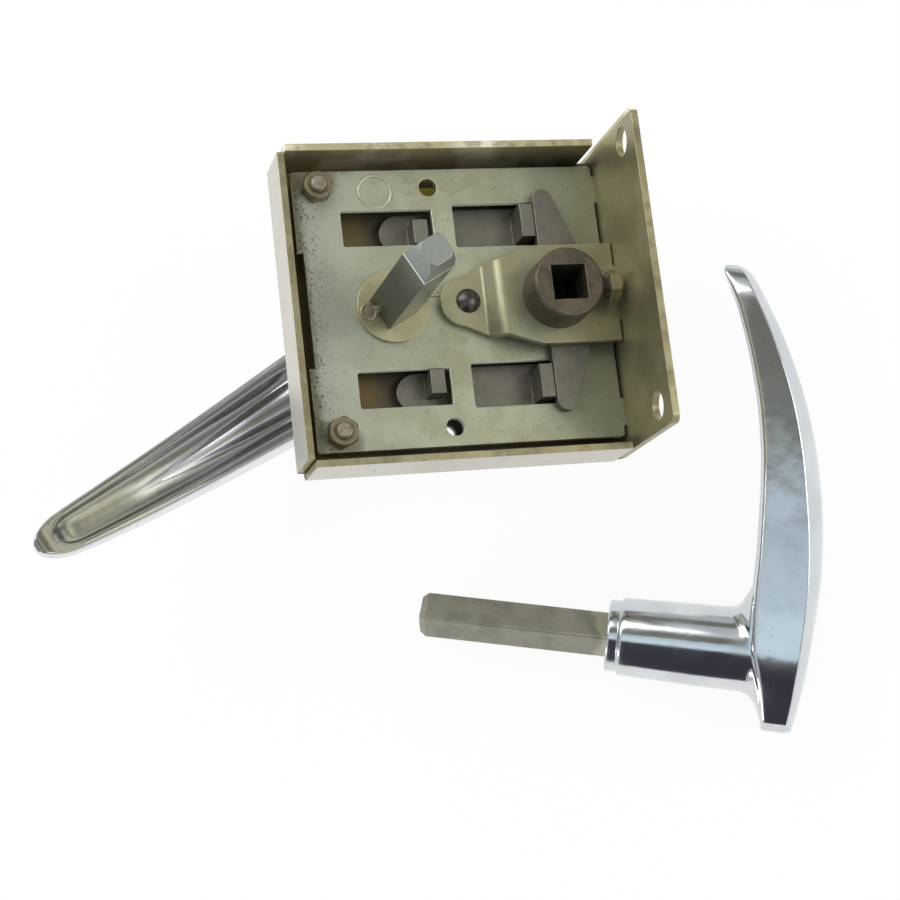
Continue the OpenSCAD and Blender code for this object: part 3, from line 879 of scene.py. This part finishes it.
def square_rod(name, frame_place):
    """A square bar along the frame's Z axis, with round corners and a chamfered end."""
    mesh = bmesh.new()
    bmesh.ops.create_cube(mesh, size=1)
    bmesh.ops.scale(mesh, vec=(BAR_SIDE, BAR_SIDE, BAR_SHOULDER - BAR_START), verts=mesh.verts)
    bmesh.ops.translate(mesh, vec=(0, 0, (BAR_SHOULDER + BAR_START) / 2), verts=mesh.verts)
    mesh.edges.ensure_lookup_table()
    long_edges = [edge for edge in mesh.edges if edge.calc_length() > 2 * BAR_SIDE]
    bmesh.ops.bevel(mesh, geom=long_edges, offset=BAR_CORNER, segments=3, profile=0.5, affect="EDGES",
                    material=-1)
    end_face = max(mesh.faces, key=lambda face: face.calc_center_median().z)
    grown = bmesh.ops.extrude_face_region(mesh, geom=[end_face])["geom"]
    tip = [part for part in grown if isinstance(part, bmesh.types.BMVert)]
    bmesh.ops.delete(mesh, geom=[end_face], context="FACES_ONLY")
    bmesh.ops.translate(mesh, vec=(0, 0, BAR_END - BAR_SHOULDER), verts=tip)
    bmesh.ops.scale(mesh, vec=(BAR_TIP, BAR_TIP, 1), verts=tip)
    bmesh.ops.transform(mesh, matrix=frame_place @ Matrix.Scale(MM, 4), verts=mesh.verts)
    bmesh.ops.recalc_face_normals(mesh, faces=mesh.faces)
    return new_piece(name, mesh)


inside_side = INSIDE_BAR.cross(INSIDE_BLADE)
inside_turn = Matrix((INSIDE_BLADE, inside_side, INSIDE_BAR)).transposed().to_4x4()
bar_place = Matrix.Translation(INSIDE_ORIGIN) @ inside_turn @ Matrix.Rotation(BAR_CLOCK, 4, "Z")
rod = square_rod("inside_square_bar", bar_place)
rod.data.materials.append(bar_material)
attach(rod, "inside_lever")
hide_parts("inside_spindle")
print("inside bar", len(rod.data.polygons), "faces")

# %% [markdown]
# Chrome is nearly a mirror, so its detail is in what disturbs the mirror: a slight wave left by the
# polishing wheel, faint hand smudges that spread the reflection, and a few pin pits. The fitted handle's
# finger channel is out of the wheel's reach, so it is duller, and it is painted darker and a little yellow
# near the tip, as a painted reflection of the dim ceiling. A painted highlight runs along the middle of its
# wedge.

# %% Chrome finish
chrome = Metal("polished_chrome", rgb(206, 211, 214), rgb(216, 220, 222), patch=0.03, metallic=1.0,
               edge=0.0002)
smudge = fade(chrome.noise(0.012, 5), 0.46, 0.7)
chrome.shine = 0.13 + 0.1 * smudge
chrome.tint(0.35 * smudge, rgb(196, 200, 198))
chrome.bump = chrome.noise(0.014, 2) + 0.05 * chrome.noise(0.0012, 3)
chrome.depth = 0.0003
# Painted reflection: the fitted handle's inner face is painted darker, and yellow near the tip.
fitted = 1 - fade(chrome.x, -76 * MM, -71 * MM)
channel = fitted * fade(chrome.facing(2), 0.15, 0.6)
along = along_lever(chrome)
near_tip = fade(along, 50 * MM, 95 * MM)
chrome.tint(0.78 * channel, blend(near_tip, rgb(142, 144, 144), rgb(150, 149, 128)), 0.24)
# Painted highlight: a bright streak along the middle of the wedge.
wedge_top = 1 - fade(abs(across_lever(chrome)), 1.2 * MM, 3.2 * MM)
wedge_highlight = wedge_top * fade(along, 36 * MM, 52 * MM) * (1 - fade(along, 72 * MM, 88 * MM))
chrome.tint(0.85 * channel * wedge_highlight, rgb(246, 248, 248), 0.18)
chrome.specks(0.0011, 0.71, rgb(120, 118, 112))
chrome_material = chrome.done()
outside_cast.data.materials.append(chrome_material)
inside_cast.data.materials.append(chrome_material)
dress(chrome_material, "outside_handle", "inside_handle")

# %% [markdown]
# Two short compression springs push the bolt out. The real ones are round wire wound on a mandrel. A
# circle of wire is swept round the axis by the spin operator, with a step along the axis on each turn.

# %% Bolt springs
WIRE = 0.00045
COIL_RADIUS = 0.0023
COIL_TURNS = 6
STEPS_A_TURN = 20
SPRING_Y = 0.012
SPRING_Z = -0.032
SPRING_START = -0.03745
SPRING_LENGTH = 0.0221


def wire_coil(name, place, axis, length, turns, radius, wire, sides=10):
    """Round wire wound along an axis with the spin operator."""
    mesh = bmesh.new()
    side = axis.orthogonal().normalized()
    frame_turn = Matrix((side, axis, side.cross(axis))).transposed().to_4x4()
    start = Matrix.Translation(place + side * radius + axis * wire)
    bmesh.ops.create_circle(mesh, cap_ends=False, segments=sides, radius=wire,
                            matrix=start @ frame_turn)
    steps = STEPS_A_TURN * turns
    advance = axis * ((length - 2 * wire) / steps)
    bmesh.ops.spin(mesh, geom=mesh.edges[:], cent=place, axis=axis, dvec=advance,
                   angle=2 * math.pi * turns, steps=steps, use_merge=False)
    ends = [edge for edge in mesh.edges if edge.is_boundary]
    bmesh.ops.holes_fill(mesh, edges=ends, sides=0)
    bmesh.ops.recalc_face_normals(mesh, faces=mesh.faces)
    for face in mesh.faces:
        face.smooth = True
    return new_piece(name, mesh)


wire_steel = Metal("spring_wire_finish", rgb(112, 114, 116), rgb(132, 132, 132), patch=0.003, shine=0.32)
wire_material = wire_steel.done()
for side_name, spring_y in (("upper", SPRING_Y), ("lower", -SPRING_Y)):
    coil = wire_coil("spring_coil_" + side_name, Vector((SPRING_START, spring_y, SPRING_Z)),
                     Vector((1, 0, 0)), SPRING_LENGTH, COIL_TURNS, COIL_RADIUS, WIRE)
    coil.data.materials.append(wire_material)
    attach(coil, "lock")
    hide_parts("bolt_spring_" + side_name)
    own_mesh(coil)
    dress(wire_material, "bolt_spring_" + side_name)

# %% [markdown]
# The set screw that holds the inside bar shows a few turns of thread between the hub and its head. The
# same spin operator winds a fine wire round the shank for it. A plain ring is stamped on the plate near
# the upper nut, and it is a thin bead spun full circle.

# %% Screw thread and stamped ring
RING_SUNK = -0.00005


def spun_ring(name, place, radius, half_width, rise):
    """A low bead, spun about +Z."""
    mesh = bmesh.new()
    profile = [(-half_width, RING_SUNK), (-0.5 * half_width, rise), (0.5 * half_width, rise),
               (half_width, RING_SUNK)]
    points = [mesh.verts.new(place + Vector((radius + out, 0, up))) for out, up in profile]
    loop = [mesh.edges.new((points[i - 1], points[i])) for i in range(len(points))]
    bmesh.ops.spin(mesh, geom=loop, cent=place, axis=(0, 0, 1), angle=2 * math.pi, steps=64, use_merge=True)
    bmesh.ops.remove_doubles(mesh, verts=mesh.verts, dist=0.000001)
    bmesh.ops.recalc_face_normals(mesh, faces=mesh.faces)
    for face in mesh.faces:
        face.smooth = True
    return new_piece(name, mesh)


ring = spun_ring("stamped_ring", Vector((-0.069, 0.0348, -0.026)), radius=0.0048, half_width=0.0005,
                 rise=0.0004)
ring.data.materials.append(bpy.data.materials["zinc_plate_finish"])
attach(ring, "lock")
thread = wire_coil("set_screw_thread", Vector((-0.0104, 0, -0.0126)), Vector((1, 0, 0)), length=0.0033,
                   turns=4, radius=0.00285, wire=0.0003, sides=6)
thread.data.materials.append(bpy.data.materials["set_screw_finish"])
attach(thread, "hub")
print("springs, thread and ring made")

# %% View transform
bpy.context.scene.view_settings.view_transform = "Standard"
